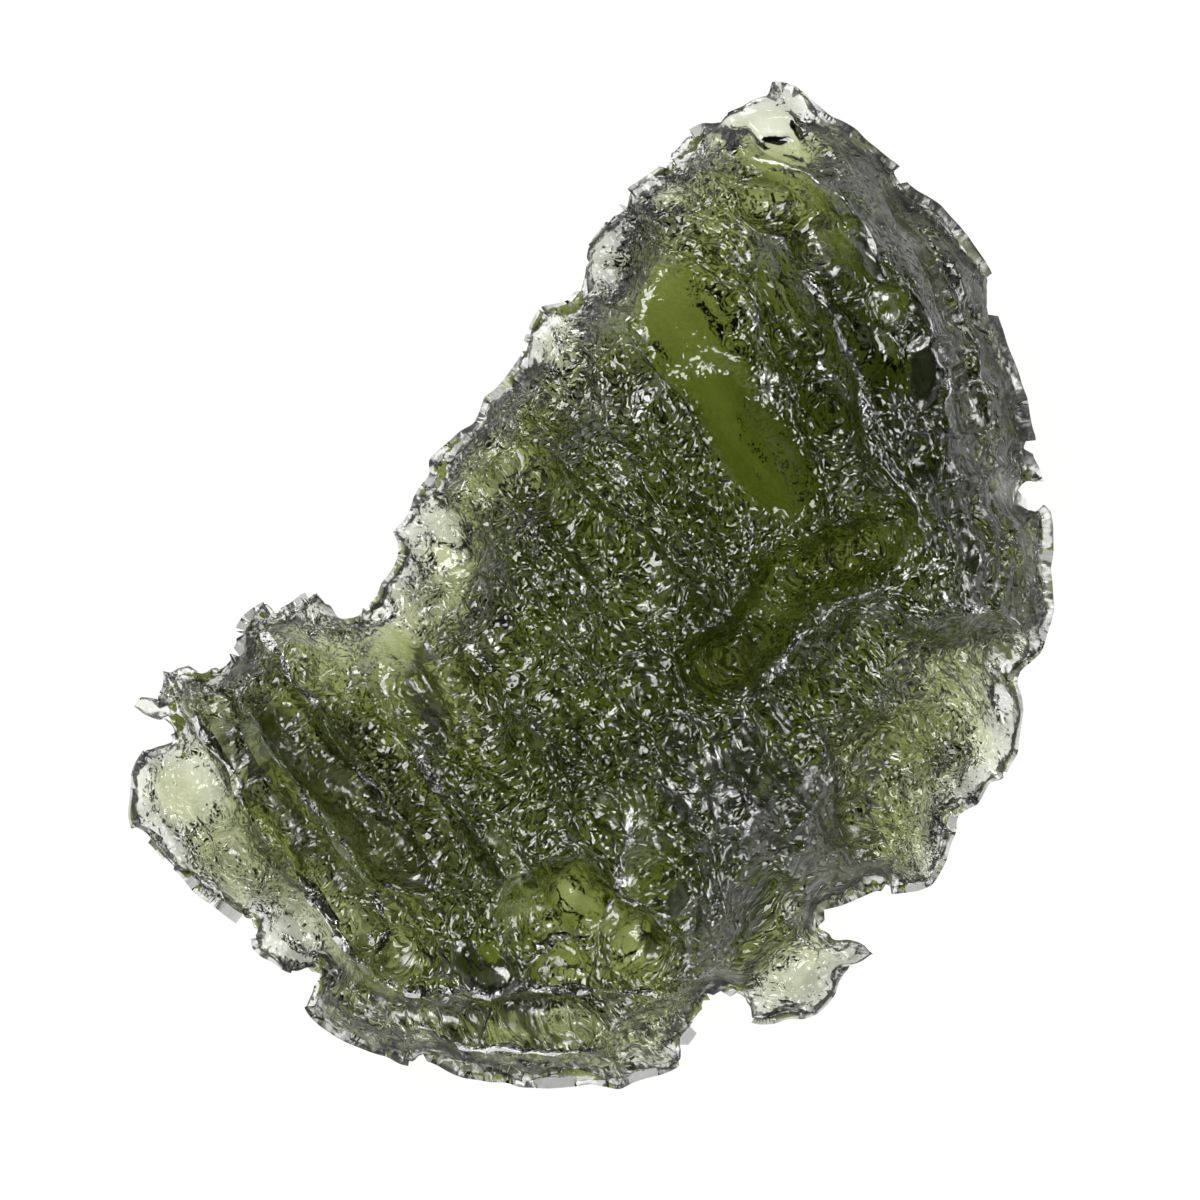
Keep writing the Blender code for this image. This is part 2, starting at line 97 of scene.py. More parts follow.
GLASS_IOR = 1.49
PLAIN_ROUGHNESS = 0.03
ETCHED_FROST = 0.08  # roughness added where the glass is etched, at the broken edge, on the skin
EDGE_FROST = 0.22
SKIN_FROST = 0.10
GLINT_IOR = 2.0
GLINT_ROUGHNESS = 0.20
CLEAR_COLOUR = (1.0, 1.0, 1.0, 1)
# Painted shade on single facets
SPECK_SHADE_COLOUR = (0.05, 0.055, 0.025, 1)
# Painted shade under the grey skin of the matt bands
SKIN_SHADE_COLOUR = (0.05, 0.055, 0.018, 1)
# Painted shade in the bottoms of the folds
FOLD_SHADE_COLOUR = (0.02, 0.024, 0.008, 1)

TABLE_GAP = 0.00002
TABLE_GLOW = 0.98
LAMP_COLOUR = (0.98, 0.98, 0.96)
# Lamps: name, place, side in metres, power in watts
SOFTBOXES = (
    ("softbox_back_left", (-0.20, 0.22, 0.24), 0.22, 2.2),
    ("softbox_right", (0.30, 0.04, 0.22), 0.18, 1.0),
    ("softbox_front", (-0.04, -0.30, 0.22), 0.18, 1.2),
)
ROOM_COLOUR = (0.98, 0.98, 0.96, 1)
# How bright the room is from the table's level up, and where it has gone dark
ROOM_FADE = (("From Min", 0.0), ("From Max", 0.75), ("To Min", 0.90), ("To Max", 0.06))
LENS = 200
SENSOR = 36
FRAME_CENTRE = (0.00038, -0.00048)
FRAME_WIDTH = 0.048
FRAME_HEIGHT = 0.004  # where the frame has that width

# Which way the melt flowed, seen from above: x and y in mm, and the bearing in degrees
FLOW_READINGS = [
    (7.0, 18.0, -20), (3.0, 14.5, -35), (10.5, 15.5, -50), (15.5, 12.0, -68), (17.0, 7.0, -82),
    (0.0, 12.0, -25), (-2.5, 8.5, -40), (4.5, 9.0, -55), (9.0, 9.0, -62), (13.0, 8.0, -75),
    (-5.5, 4.5, -50), (-1.0, 3.0, -52), (5.0, 3.0, -55), (10.5, 3.0, -60), (16.5, 1.0, -90),
    (-6.5, -1.0, -60), (0.0, -3.0, -56), (7.0, -3.0, -48), (14.0, -3.0, -20), (16.0, -6.0, -70),
    (-12.0, -4.0, -50), (-16.5, -8.0, -58), (-8.0, -7.0, -52), (-2.0, -8.0, -60),
    (4.0, -9.0, -75), (7.5, -9.0, -58), (12.0, -8.0, -75), (-13.0, -12.0, -42),
    (-9.0, -14.0, -40), (-3.0, -13.0, -62), (2.5, -12.5, -80), (8.5, -15.5, 34),
    (-9.5, -17.0, -18), (-3.0, -18.5, -2), (2.5, -18.0, 20),
]

# Places where the surface is smooth: x, y, half length, half width, bearing, how smooth
CALM_PLACES = [
    (4.0, 10.0, 2.8, 1.6, -58, 0.82), (6.6, 5.4, 3.0, 1.3, -54, 0.80),
    (11.2, 9.4, 1.8, 0.7, -62, 0.7),
    (13.0, 8.4, 1.0, 0.55, -88, 0.85), (12.6, 1.7, 0.6, 0.8, -70, 0.5),
    (6.6, 18.2, 2.0, 1.2, -20, 0.7),
    (-4.2, -15.0, 1.3, 0.7, -20, 0.75),
    (-16.4, -8.0, 1.0, 0.8, -40, 0.35), (-1.0, -12.0, 1.4, 0.9, -60, 0.6),
    (-7.0, -3.6, 2.2, 0.8, -56, 0.6),
    (8.6, -15.6, 1.4, 0.6, 34, 0.2),
    (8.5, 15.7, 2.3, 0.55, -32, 0.6), (10.4, 12.9, 1.7, 0.45, -42, 0.7),
    (7.3, 12.4, 2.0, 0.45, -64, 0.7),
]

# Bands of painted shade on densely pitted, frosted glass: the points of a line in mm, half width, how
# dark
MATT_SHADE_BANDS = [
    ([(11.2, 16.4), (12.8, 14.6), (14.0, 11.8), (14.8, 8.8), (15.4, 5.6)], 1.9, 0.85),
    ([(15.4, 5.0), (15.9, 2.6), (16.6, 0.0), (16.4, -2.2)], 2.0, 0.65),
    ([(12.6, 6.4), (12.8, 3.6)], 1.2, 0.5),
    ([(5.4, -7.8), (7.6, -8.6), (9.8, -10.4)], 2.1, 0.9),
    ([(7.6, -7.4), (6.0, -10.6), (4.6, -13.4)], 1.7, 0.75),
    ([(-10.6, -17.4), (-8.6, -18.4), (-5.0, -18.9), (-2.0, -19.8)], 0.6, 0.7),
    ([(-5.2, -14.9), (-4.2, -15.6), (-3.0, -15.2)], 0.6, 0.9),
    ([(12.9, 9.2), (13.2, 7.8)], 0.55, 1.3),
    ([(-9.6, -17.4), (-5.0, -18.2), (-1.0, -18.4), (3.0, -18.0)], 1.3, 0.35),
    ([(-10.6, -16.6), (-8.0, -17.0), (-5.6, -17.4), (-2.0, -17.3)], 0.4, 0.7),
    ([(-15.4, -4.4), (-12.6, -8.4), (-10.0, -12.0)], 0.45, 0.5),
    ([(-6.6, -2.4), (-5.6, -5.4)], 0.8, 0.4),
    ([(-12.6, -5.0), (-10.6, -7.0), (-8.4, -9.0), (-6.4, -10.8)], 0.45, 0.9),
    ([(-16.4, -3.8), (-14.6, -6.6)], 0.8, 0.5),
    ([(-12.2, -3.2), (-13.8, -3.2)], 0.6, 0.6),
]
# Shaded bottoms of the deepest folds, in the same way
SHADED_FOLDS = [
    ([(12.8, 2.2), (10.2, 1.2), (8.0, 0.4), (6.4, -2.0), (4.0, -4.6)], 0.28, 0.45),
    ([(-15.6, -4.6), (-13.4, -7.2), (-11.0, -10.8), (-8.6, -13.4)], 0.40, 0.9),
    ([(-13.6, -4.0), (-11.4, -6.2), (-8.6, -9.6), (-6.4, -12.0)], 0.70, 0.95),
    ([(-9.6, -5.0), (-8.8, -6.4), (-6.6, -9.8), (-4.6, -12.2)], 0.55, 0.8),
    ([(6.2, 14.2), (7.6, 11.2), (9.2, 7.6), (10.2, 4.8)], 0.40, 0.7),
    ([(8.6, 14.2), (10.0, 12.2), (11.2, 9.4), (12.0, 6.4)], 0.50, 0.7),
    ([(-6.6, -1.8), (-5.8, -3.2), (-4.6, -5.2), (-2.8, -7.4)], 0.40, 0.5),
    ([(-9.0, -16.6), (-5.4, -17.2), (-1.4, -17.0), (2.0, -17.2)], 0.35, 0.4),
    ([(-13.0, -4.8), (-11.2, -7.0), (-9.4, -9.4)], 0.8, 0.93),
    ([(-7.4, -4.8), (-5.6, -8.0), (-4.6, -11.6), (-5.6, -13.8)], 1.1, 0.55),
    ([(-6.6, -1.6), (-5.0, -3.0)], 0.8, 0.5),
    ([(-4.4, -9.6), (-2.4, -10.6), (-0.4, -10.8)], 0.8, 0.6),
    ([(-14.2, -11.0), (-12.6, -12.4), (-10.6, -12.8)], 1.0, 0.7),
    ([(-10.4, -16.8), (-6.0, -18.0)], 1.3, 0.55),
    ([(4.0, -16.0), (5.4, -15.6)], 0.7, 0.5),
    ([(4.6, -7.6), (5.6, -8.8)], 0.9, 0.5),
    ([(-8.4, -13.2), (-6.4, -14.6)], 0.8, 0.45),
    ([(0.2, -8.4), (1.4, -6.2), (4.4, -6.0)], 1.0, 0.4),
    ([(-5.4, 3.0), (-4.8, 0.4), (-5.2, -3.4)], 0.9, 0.5),
    ([(-3.4, 6.8), (-1.2, 9.6), (0.0, 11.6)], 0.8, 0.4),
    ([(9.6, -7.6), (11.6, -8.6), (11.0, -10.4)], 1.2, 0.4),
    ([(-17.0, -9.4), (-15.0, -11.4)], 0.9, 0.25),
    ([(-4.6, -9.6), (0.6, -9.6), (5.0, -11.4)], 2.6, 0.28),
    ([(-9.0, -18.4), (-3.0, -19.0), (3.6, -17.0)], 1.6, 0.36),
    ([(-0.6, -15.0), (5.6, -13.6), (6.4, -16.2)], 1.6, 0.32),
    ([(7.4, -6.4), (9.8, -8.8)], 1.4, 0.32),
    ([(-13.4, -11.6), (-12.8, -13.6)], 0.8, 0.45),
]
# Pale crests and frosted chips that catch the lamps, in the same way
PALE_CRESTS = [
    ([(-3.7, -9.8), (-2.6, -11.8), (-1.6, -13.2)], 0.35, 0.8),
    ([(-1.5, -13.3), (0.4, -13.5), (1.8, -13.5)], 0.35, 0.7),
    ([(1.6, -8.9), (2.0, -10.4), (1.7, -12.0)], 0.70, 0.7),
    ([(7.1, -7.3), (6.8, -7.8)], 0.25, 1.0),
    ([(6.6, 16.9), (8.6, 15.8), (10.4, 14.5)], 0.45, 0.5),
    ([(6.2, 14.3), (8.0, 10.7)], 0.40, 0.4),
    ([(9.2, 13.7), (11.6, 11.9)], 0.40, 0.4),
    ([(11.4, 11.1), (11.5, 10.9)], 0.32, 1.0),
    ([(-13.6, -5.6), (-11.6, -8.6), (-10.0, -11.2)], 0.25, 0.6),
    ([(-8.8, 0.6), (-8.8, -1.8), (-8.2, -4.4), (-7.4, -6.0)], 0.60, 0.4),
    ([(-2.6, 10.4), (-0.6, 12.6)], 0.70, 0.4),
    ([(-11.4, -13.6), (-9.6, -15.2), (-8.2, -16.2)], 0.50, 0.6),
    ([(-11.2, -1.4), (-9.8, -2.2), (-8.2, -2.6)], 0.90, 0.6),
    ([(0.2, 11.4), (1.4, 9.4)], 0.70, 0.35),
    ([(11.0, -0.2), (6.0, -0.8)], 0.40, 0.3),
    ([(-10.4, -9.4), (-9.0, -10.8)], 0.50, 0.45),
    ([(16.6, 4.0), (17.6, 3.9)], 0.35, 0.9),
]
# Smooth leaf-shaped hollows: x, y, half length, half width, bearing, depth in mm, painted shade on the
# rim
LEAVES = [
    (-0.7, -12.0, 1.20, 0.55, 75, 0.4, 1.0), (0.1, -12.6, 0.75, 0.65, 0, 0.5, 1.0),
    (1.2, -13.0, 1.00, 0.50, -5, 0.5, 1.0), (-1.1, -14.7, 1.30, 0.65, -25, 0.5, 1.0),
    (-2.9, -12.5, 1.25, 0.85, 80, 0.4, 0.9), (1.7, -14.2, 1.20, 0.60, 60, 0.5, 0.9),
    (3.1, -12.5, 1.05, 0.70, 75, 0.4, 0.8), (-2.2, -6.1, 0.80, 0.45, 40, 0.5, 0.8),
    (-0.4, -4.4, 0.60, 0.50, 0, 0.5, 0.8), (-5.9, 1.2, 0.70, 0.50, -60, 0.4, 0.5),
    (7.8, 17.9, 1.70, 0.85, -25, 1.0, 0.0), (10.4, 15.2, 0.90, 0.35, -50, 0.5, 0.3),
]


class MoldaviteSizes(bpy.types.PropertyGroup):
    striae_depth: bpy.props.FloatProperty(
        name="Striae depth",
        description="Depth of the flow lines etched into the glass",
        default=0.80 * MM, min=0.0, unit="LENGTH", precision=5,
    )
    pit_depth: bpy.props.FloatProperty(
        name="Pit depth",
        description="Depth of the scalloped pits",
        default=0.30 * MM, min=0.0, unit="LENGTH", precision=5,
    )
    pit_width: bpy.props.FloatProperty(
        name="Pit width",
        description="Width of a scalloped pit across the flow",
        default=0.62 * MM, min=0.1 * MM, unit="LENGTH", precision=5,
    )
    table_reach: bpy.props.FloatProperty(
        name="Table reach",
        description="Half the width of the light table",
        default=0.16, min=0.03, unit="LENGTH",
    )


class MoldaviteColours(bpy.types.PropertyGroup):
    glass_tint: bpy.props.FloatVectorProperty(
        name="Glass tint",
        description="Colour that the glass lets through",
        default=(0.556, 0.606, 0.20), subtype="COLOR", min=0.0, max=1.0,
    )
    glass_density: bpy.props.FloatProperty(
        name="Glass density",
        description="How fast the glass swallows light, per metre",
        default=900.0, min=0.0,
    )
    table_colour: bpy.props.FloatVectorProperty(
        name="Table colour",
        description="Colour of the light table",
        default=(1.0, 1.0, 0.985), subtype="COLOR", min=0.0, max=1.0,
    )


# Relief worked out in plan


class PlanGrid:
    """A square grid over the stone seen from above, for maps of its relief."""

    def __init__(self, box, cell):
        self.low = np.array(box[0][:2]) - 1.0
        self.high = np.array(box[1][:2]) + 1.0
        self.cell = cell
        self.shape = tuple(int(n) for n in np.ceil((self.high - self.low) / cell)[::-1] + 1)
        rows, columns = np.indices(self.shape)
        self.x = self.low[0] + columns * cell
        self.y = self.low[1] + rows * cell

    def sample(self, values, places):
        """Bilinear reading of a map at places in mm."""
        across = (places - self.low) / self.cell
        column = np.clip(across[:, 0], 0, self.shape[1] - 1.001)
        row = np.clip(across[:, 1], 0, self.shape[0] - 1.001)
        c0, r0 = column.astype(int), row.astype(int)
        fc, fr = column - c0, row - r0
        lower = values[r0, c0] * (1 - fc) + values[r0, c0 + 1] * fc
        upper = values[r0 + 1, c0] * (1 - fc) + values[r0 + 1, c0 + 1] * fc
        return lower * (1 - fr) + upper * fr


def flow_field(grid):
    """Unit vectors of the melt's flow over the grid, blended from the readings."""
    table = np.array(FLOW_READINGS)
    double = np.radians(2 * table[:, 2])
    cosine = np.zeros(grid.shape)
    sine = np.zeros(grid.shape)
    for (x, y, _), angle in zip(table, double):
        weight = 1 / ((grid.x - x) ** 2 + (grid.y - y) ** 2 + 1.0) ** 1.5
        cosine += weight * math.cos(angle)
        sine += weight * math.sin(angle)
    half = np.arctan2(sine, cosine) / 2
    usual = math.radians(USUAL_BEARING)
    sign = np.where(np.cos(half - usual) < 0, -1.0, 1.0)
    return np.cos(half) * sign, np.sin(half) * sign


def potential(along_x, along_y, cell):
    """The height map whose slope is nearest to the given one everywhere."""
    right = np.zeros_like(along_x)
    right[:, :-1] = (along_x[:, :-1] + along_x[:, 1:]) / 2 * cell
    up = np.zeros_like(along_y)
    up[:-1] = (along_y[:-1] + along_y[1:]) / 2 * cell
    spread = right + up
    spread[:, 1:] -= right[:, :-1]
    spread[1:] -= up[:-1]
    mirrored = np.block([[spread, spread[:, ::-1]], [spread[::-1], spread[::-1, ::-1]]])
    rows, columns = mirrored.shape
    wave_y = 2 * np.cos(2 * np.pi * np.arange(rows) / rows) - 2
    wave_x = 2 * np.cos(2 * np.pi * np.arange(columns) / columns) - 2
    scale = wave_y[:, None] + wave_x[None]
    scale[0, 0] = 1
    heights = np.fft.ifft2(np.fft.fft2(mirrored) / scale).real
    return heights[:along_x.shape[0], :along_x.shape[1]]


def blur(values, cells):
    """A soft spread over a few cells, with edges held."""
    reach = int(3 * cells) + 1
    kernel = np.exp(-0.5 * (np.arange(-reach, reach + 1) / cells) ** 2)
    kernel /= kernel.sum()
    for axis in (0, 1):
        padded = np.pad(values, [(reach, reach) if a == axis else (0, 0) for a in (0, 1)], mode="edge")
        total = np.zeros_like(values)
        for offset, weight in enumerate(kernel):
            cut = [slice(None), slice(None)]
            cut[axis] = slice(offset, offset + values.shape[axis])
            total += weight * padded[tuple(cut)]
        values = total
    return values


def striae_map(grid, field, width, length, seed):
    """Noise drawn out along the flow, from -1 to 1: width and length in mm."""
    rng = np.random.default_rng(seed)
    grain = blur(rng.standard_normal(grid.shape), width / grid.cell / 2)
    total = grain.copy()
    steps = int(length / grid.cell / 2)
    for way in (1, -1):
        column = np.indices(grid.shape)[1].astype(float)
        row = np.indices(grid.shape)[0].astype(float)
        ux, uy = field[0] * way, field[1] * way
        for step in range(steps):
            column = np.clip(column + ux, 0, grid.shape[1] - 1)
            row = np.clip(row + uy, 0, grid.shape[0] - 1)
            ci, ri = column.round().astype(int), row.round().astype(int)
            nx, ny = field[0][ri, ci], field[1][ri, ci]
            sign = np.where(nx * ux + ny * uy < 0, -1.0, 1.0)
            ux, uy = nx * sign, ny * sign
            fade = 0.5 + 0.5 * math.cos(math.pi * (step + 1) / (steps + 1))
            total += fade * grain[ri, ci]
    total -= total.mean()
    return np.tanh(total / total.std() * 0.9)


def within_oval(x, y, oval):
    """1 inside an oval, 0 outside it, and an even slope round its border."""
    x0, y0, half_length, half_width, bearing = oval
    turn = math.radians(bearing)
    along = ((x - x0) * math.cos(turn) + (y - y0) * math.sin(turn)) / half_length
    across = (-(x - x0) * math.sin(turn) + (y - y0) * math.cos(turn)) / half_width
    share = np.clip((1.35 - np.hypot(along, across)) / 0.5, 0, 1)
    return share * share * (3 - 2 * share)


def calm_map(grid):
    """1 where the glass is rough, towards 0 on the smooth places."""
    rough = np.ones(grid.shape)
    for *oval, amount in CALM_PLACES:
        rough *= 1 - amount * within_oval(grid.x, grid.y, oval)
    return rough


def leaf_maps(grid):
    """How deep the pointed, leaf-shaped hollows are, where their insides are, and the painted shade on
    their rims.
    """
    depth, inside, rim = (np.zeros(grid.shape) for _ in range(3))
    for x, y, half_length, half_width, bearing, deep, dark in LEAVES:
        turn = math.radians(bearing)
        dx, dy = grid.x - x, grid.y - y
        along = (dx * math.cos(turn) + dy * math.sin(turn)) / half_length
        across = (-dx * math.sin(turn) + dy * math.cos(turn)) / half_width
        reach = along ** 2 + np.sqrt(across ** 2 + 0.02) - 0.1
        depth = np.maximum(depth, deep * np.clip(1.2 - reach ** 2, 0, 1))
        inside = np.maximum(inside, np.clip((1.05 - reach) / 0.3, 0, 1))
        crescent = np.clip(1 - np.abs(reach - 1.0) / 0.28, 0, 1)
        # Painted shade in a crescent on one side of the rim
        rim = np.maximum(rim, dark * crescent * np.clip(0.5 + (dy - 0.5 * dx) / half_width, 0.2, 1))
    return depth, inside, rim


def band_map(grid, bands, noise):
    """The strength of some drawn bands, with ragged borders."""
    strength = np.zeros(grid.shape)
    for line, half_width, amount in bands:
        gap = np.full(grid.shape, 1e9)
        for (x1, y1), (x2, y2) in zip(line[:-1], line[1:]):
            dx, dy = x2 - x1, y2 - y1
            foot = np.clip(((grid.x - x1) * dx + (grid.y - y1) * dy) / (dx * dx + dy * dy), 0, 1)
            gap = np.minimum(gap, np.hypot(grid.x - x1 - foot * dx, grid.y - y1 - foot * dy))
        share = np.clip(1.5 - gap / half_width + 0.45 * noise, 0, 1)
        strength = np.maximum(strength, amount * share)
    return strength


# Mesh of the stone


def thin_edge(shape):
    """Brings the two faces closer together towards the broken edge, and notes how near it is."""
    nearness = shape.verts.layers.float.new("edge")
    edge = KDTree(len(shape.verts))
    columns = {}
    for vert in shape.verts:
        columns.setdefault((round(vert.co.x, 7), round(vert.co.y, 7)), []).append(vert)
    for e in shape.edges:
        a, b = e.verts
        if (a.co - b.co).xy.length < 1e-6:
            edge.insert((a.co.x, a.co.y, 0), a.index)
    edge.balance()
    for (x, y), verts in columns.items():
        reach = min(edge.find((x, y, 0))[2] / EDGE_REACH, 1)
        reach = reach * reach * (3 - 2 * reach)
        share = RIM_EDGE + (1 - RIM_EDGE) * reach
        middle = sum(vert.co.z for vert in verts) / len(verts)
        for vert in verts:
            vert.co.z = middle + (vert.co.z - middle) * share
            vert[nearness] = 1 - reach


def refined_copy(node, name):
    """A copy of the solid with four times the points along every edge, softly rounded."""
    shape = bmesh.new()
    shape.from_mesh(bpy.data.objects[node].data)
    bmesh.ops.remove_doubles(shape, verts=shape.verts, dist=1e-6)
    bmesh.ops.recalc_face_normals(shape, faces=shape.faces)
    thin_edge(shape)
    rim = {v for e in shape.edges if e.calc_face_angle() > CREASE for v in e.verts}
    bmesh.ops.subdivide_edges(shape, edges=shape.edges, cuts=NEW_POINTS, use_grid_fill=True)
    soft = [
        v for v in shape.verts
        if v not in rim and all(e.calc_face_angle() < CREASE for e in v.link_edges)
    ]
    every_way = {"use_axis_x": True, "use_axis_y": True, "use_axis_z": True}
    for _ in range(ROUNDING_PASSES):
        bmesh.ops.smooth_vert(shape, verts=soft, factor=0.5, **every_way)
    bmesh.ops.triangulate(shape, faces=[f for f in shape.faces if len(f.verts) > 3])
    data = bpy.data.meshes.new(name)
    shape.to_mesh(data)
    shape.free()
    piece = bpy.data.objects.new(name, data)
    bpy.context.scene.collection.objects.link(piece)
    return piece


def points_and_normals(data):
    count = len(data.vertices)
    points = np.empty(count * 3, dtype=np.float32)
    normals = np.empty(count * 3, dtype=np.float32)
    data.vertices.foreach_get("co", points)
    data.vertex_normals.foreach_get("vector", normals)
    return points.reshape(-1, 3).astype(float), normals.reshape(-1, 3).astype(float)


def local_thickness(piece, points, normals):
    """How much glass lies under each point, in mm."""
    shape = bmesh.new()
    shape.from_mesh(piece.data)
    tree = BVHTree.FromBMesh(shape)
    shape.free()
    depths = np.empty(len(points))
    for i, (point, normal) in enumerate(zip(points, normals)):
        start = Vector(point - normal * JUST_INSIDE)
        hit = tree.ray_cast(start, Vector(-normal), THICKEST)
        depths[i] = hit[3] if hit[3] is not None else 0.0
    return depths / MM


def level_calm_places(piece):
    """Evens out the upper face in the smoothest places, which keep a gentle curve."""
    points, normals = points_and_normals(piece.data)
    for *oval, amount in CALM_PLACES:
        if amount < LEVEL_FROM:
            continue
        wide = [*oval[:2], oval[2] * 1.25, oval[3] * 1.25, oval[4]]
        weight = within_oval(points[:, 0] / MM, points[:, 1] / MM, wide) * (normals[:, 2] > 0.2)
        near = np.flatnonzero(weight > 0.02)
        x, y = points[near, 0] / MM - oval[0], points[near, 1] / MM - oval[1]
        terms = np.column_stack([np.ones(len(near)), x, y, x * x, x * y, y * y])
        pull = weight[near][:, None]
        curve = np.linalg.lstsq(terms * pull, points[near, 2:] * pull, rcond=None)[0]
        points[near, 2:] += 0.9 * pull * (terms @ curve - points[near, 2:])
    piece.data.vertices.foreach_set("co", points.ravel().astype(np.float32))
    piece.data.update()


def store(data, name, values):
    layer = data.attributes.new(name, "FLOAT", "POINT")
    layer.data.foreach_set("value", values.astype(np.float32))


def note_etching(data, grid, field, places, normals, thickness):
    """Stores how deep each kind of etching goes at each point, and returns the shared maps."""
    top = np.clip(normals[:, 2] * 2 + 0.5, 0, 1)
    leaf_depth, leaf_inside, leaf_rim_shade = leaf_maps(grid)
    calm = calm_map(grid) * (1 - 0.75 * leaf_inside)
    rough = grid.sample(calm, places) * (0.75 + 0.25 * top)

    relief = np.zeros(len(places))
    for seed, face in ((UPPER_SEED, top), (LOWER_SEED, 1 - top)):
        for width, length, share in STRIAE:
            lines = striae_map(grid, field, width, length, seed)
            relief += face * share * grid.sample(np.abs(lines), places)
            seed += SEED_STEP
    store(data, "striae", relief * rough)
    store(data, "leaves", top * grid.sample(leaf_depth, places))
    store(data, "room", np.clip(thickness / FULL_ROOM, 0.06, 1))
    store(data, "rough", rough)
    level = 0.45 + 0.55 * np.clip(np.abs(normals[:, 2]) * 1.7, 0, 1) ** 2
    store(data, "facets", rough * level * np.clip(0.65 + thickness / 6.0, 0, 1))
    return top, rough, calm, leaf_inside, leaf_rim_shade


def note_colouring(data, grid, field, places, thickness, shared):
    """Stores where the glass is pale, matt with painted shade, in painted shade, glinting, or darkened
    by painted shade on single facets.
    """
    top, rough, calm, leaf_inside, leaf_rim_shade = shared
    ragged = striae_map(grid, field, *RAGGED_BORDERS)
    pale = band_map(grid, PALE_CRESTS, ragged)
    # Matt bands: frost, a coat sheen and painted shade
    matt_shade = band_map(grid, MATT_SHADE_BANDS, ragged) * (1 - pale)
    # Painted shade in patches along the flow
    shade_mottle = sum(share * np.clip(striae_map(grid, field, *noise), 0, 1) for share, noise in SHADE_MOTTLE)
    # Painted shade: the fold bottoms, the patches along the flow and the leaves' rims
    shade = np.maximum(band_map(grid, SHADED_FOLDS, ragged), np.clip(shade_mottle, 0, 0.8) * calm)
    shade = np.maximum(shade * (1 - 0.7 * leaf_inside), leaf_rim_shade) * (1 - pale)
    patches = np.clip(0.15 + 1.2 * striae_map(grid, field, *GLINT_PATCHES), 0.03, 1)
    store(data, "pale", top * grid.sample(pale, places))
    store(data, "matt_shade", top * grid.sample(matt_shade, places))
    store(data, "shade", top * grid.sample(shade, places))
    store(data, "gleam", rough * top * grid.sample(patches, places))
    # How much painted shade single facets get: more where the glass is thick and rough
    depth = np.clip(thickness / 4.0 - 0.2, 0.08, 1) * grid.sample(calm * (1 - pale), places)
    store(data, "depth", depth * (0.45 + 0.55 * top))


def note_flow(data, grid, field, places, heights):
    """Stores each point's place along the flow, across it and up, in mm."""
    along = grid.sample(potential(field[0], field[1], grid.cell), places)
    across = grid.sample(potential(-field[1], field[0], grid.cell), places)
    flow = data.attributes.new("flow", "FLOAT_VECTOR", "POINT")
    flow.data.foreach_set("vector", np.column_stack([along, across, heights]).astype(np.float32).ravel())


def note_relief(piece):
    """Stores on the mesh all that the etching and the glass need to know at each point."""
    points, normals = points_and_normals(piece.data)
    places = points[:, :2] / MM
    grid = PlanGrid([c / MM for c in map(np.array, CAD_BOX)], PLAN_CELL)
    field = flow_field(grid)
    thickness = local_thickness(piece, points, normals)
    shared = note_etching(piece.data, grid, field, places, normals, thickness)
    note_colouring(piece.data, grid, field, places, thickness, shared)
    note_flow(piece.data, grid, field, places, points[:, 2] / MM)


# Etching, as Geometry Nodes


def add_node(tree, kind, **settings):
    node = tree.nodes.new(kind)
    for key, value in settings.items():
        setattr(node, key, value)
    return node


def math_node(tree, operation, a, b=None, c=None):
    node = add_node(tree, "ShaderNodeMath", operation=operation)
    for socket, value in zip(node.inputs, (a, b, c)):
        if value is None:
            continue
        if isinstance(value, (int, float)):
            socket.default_value = value
        else:
            tree.links.new(value, socket)
    return node.outputs[0]


def stored_value(tree, name):
    """One of the values that are stored at each point of the mesh."""
    node = add_node(tree, "GeometryNodeInputNamedAttribute", data_type="FLOAT")
    node.inputs["Name"].default_value = name
    return node.outputs["Attribute"]


